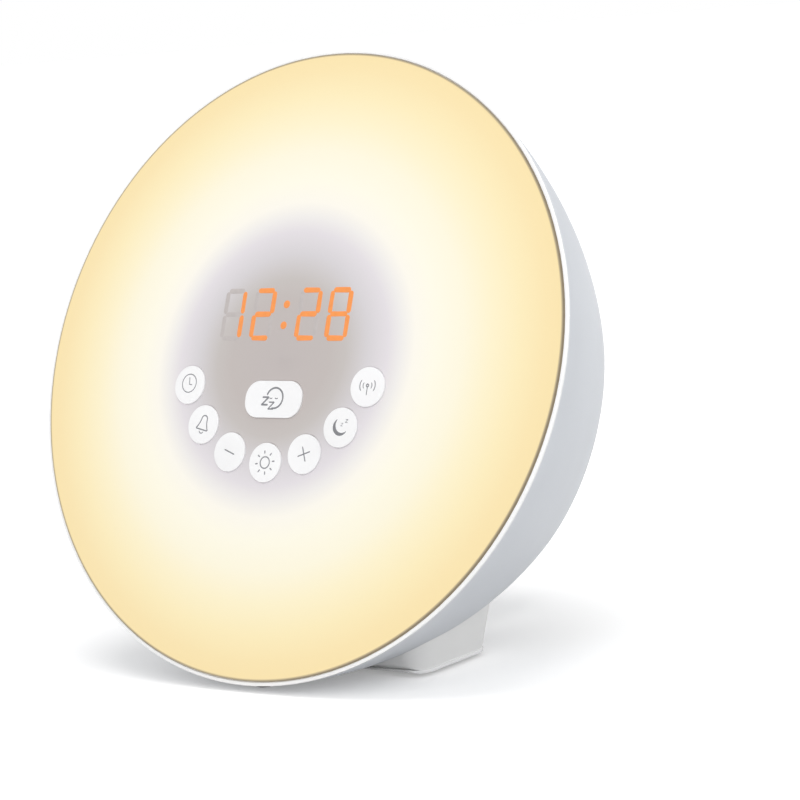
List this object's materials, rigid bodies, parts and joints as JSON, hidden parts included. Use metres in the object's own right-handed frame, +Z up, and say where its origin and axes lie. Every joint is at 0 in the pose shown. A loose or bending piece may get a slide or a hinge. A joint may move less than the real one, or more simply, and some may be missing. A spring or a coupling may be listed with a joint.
{
  "type": "sunrise alarm clock",
  "caption": "Round wake-up light with a glowing domed face, a time display, an arc of keys and a rear carrying loop.",
  "frame": {"origin": "on the ground, in the middle of the box around the whole clock", "axes": "+Z up, -Y to the front where the face looks, +X to the right as seen from the front"},
  "size_m": [0.1696, 0.1286, 0.1598],
  "materials": {
    "opal_lens": "satin milky diffuser, lit from behind",
    "white_trim": "polished moulded ABS",
    "shell": "fine satin moulded ABS",
    "dark_liner": "matt spark-eroded moulded ABS",
    "inner_white": "plain moulded ABS",
    "circuit_board": "solder mask",
    "led_package": "phosphor resin",
    "display_face": "satin",
    "display_stroke": "orange light guide",
    "component": "moulded epoxy",
    "key_cap": "satin gloss white cap",
    "cell_steel": "plain",
    "speaker_frame": "black stove enamel",
    "cone_paper": "pressed paper",
    "ferrite": "sintered ferrite",
    "foot_plastic": "satin moulded ABS",
    "pad_rubber": "matt",
    "screw_steel": "zinc plated"
  },
  "bodies": {
    "clock_body": {"lens": "opal_lens", "bezel_ring": "white_trim", "rear_housing": "shell", "handle_liner": "dark_liner", "light_shield": "inner_white", "reflector": "inner_white", "led_board": "circuit_board", "leds": "led_package", "control_board": "circuit_board", "display_module": "display_face", "display_segments": "display_stroke", "key_switches": "component", "main_board": "circuit_board", "board_parts": "component", "cell_holder": "component", "backup_cell": "cell_steel", "speaker_basket": "speaker_frame", "speaker_cone": "cone_paper", "speaker_magnet": "ferrite", "speaker_gasket": "pad_rubber", "speaker_clamp": "speaker_frame", "ribbon_cable": "dark_liner", "top_button_board": "circuit_board", "power_inlet": "component", "inlet_nut": "screw_steel", "foot": "foot_plastic", "base_plate": "foot_plastic", "rubber_feet": "pad_rubber", "reflector_screws": "screw_steel", "board_screws": "screw_steel", "speaker_screws": "screw_steel", "liner_screws": "screw_steel", "foot_screws": "screw_steel"},
    "clock_key": {"key_clock": "key_cap"},
    "bell_key": {"key_bell": "key_cap"},
    "minus_key": {"key_minus": "key_cap"},
    "light_key": {"key_light": "key_cap"},
    "plus_key": {"key_plus": "key_cap"},
    "sleep_key": {"key_sleep": "key_cap"},
    "radio_key": {"key_radio": "key_cap"},
    "snooze_key": {"key_snooze": "key_cap"},
    "crown_button": {"top_button": "key_cap"}
  },
  "joints": [
    {"name": "clock_key_press", "type": "slide", "parent": "clock_body", "child": "clock_key", "axis": [0, 0.9317, -0.3633], "range_m": [0, 0.0008], "stiffness_N_per_m": 1500, "springref_m": -0.0002},
    {"name": "bell_key_press", "type": "slide", "parent": "clock_body", "child": "bell_key", "axis": [0, 0.9317, -0.3633], "range_m": [0, 0.0008], "stiffness_N_per_m": 1500, "springref_m": -0.0002},
    {"name": "minus_key_press", "type": "slide", "parent": "clock_body", "child": "minus_key", "axis": [0, 0.9317, -0.3633], "range_m": [0, 0.0008], "stiffness_N_per_m": 1500, "springref_m": -0.0002},
    {"name": "light_key_press", "type": "slide", "parent": "clock_body", "child": "light_key", "axis": [0, 0.9317, -0.3633], "range_m": [0, 0.0008], "stiffness_N_per_m": 1500, "springref_m": -0.0002},
    {"name": "plus_key_press", "type": "slide", "parent": "clock_body", "child": "plus_key", "axis": [0, 0.9317, -0.3633], "range_m": [0, 0.0008], "stiffness_N_per_m": 1500, "springref_m": -0.0002},
    {"name": "sleep_key_press", "type": "slide", "parent": "clock_body", "child": "sleep_key", "axis": [0, 0.9317, -0.3633], "range_m": [0, 0.0008], "stiffness_N_per_m": 1500, "springref_m": -0.0002},
    {"name": "radio_key_press", "type": "slide", "parent": "clock_body", "child": "radio_key", "axis": [0, 0.9317, -0.3633], "range_m": [0, 0.0008], "stiffness_N_per_m": 1500, "springref_m": -0.0002},
    {"name": "snooze_key_press", "type": "slide", "parent": "clock_body", "child": "snooze_key", "axis": [0, 0.9317, -0.3633], "range_m": [0, 0.0008], "stiffness_N_per_m": 1500, "springref_m": -0.0002},
    {"name": "crown_button_press", "type": "slide", "parent": "clock_body", "child": "crown_button", "axis": [0, -0.7593, -0.6507], "range_m": [0, 0.001], "stiffness_N_per_m": 1500, "springref_m": -0.0002}
  ]
}
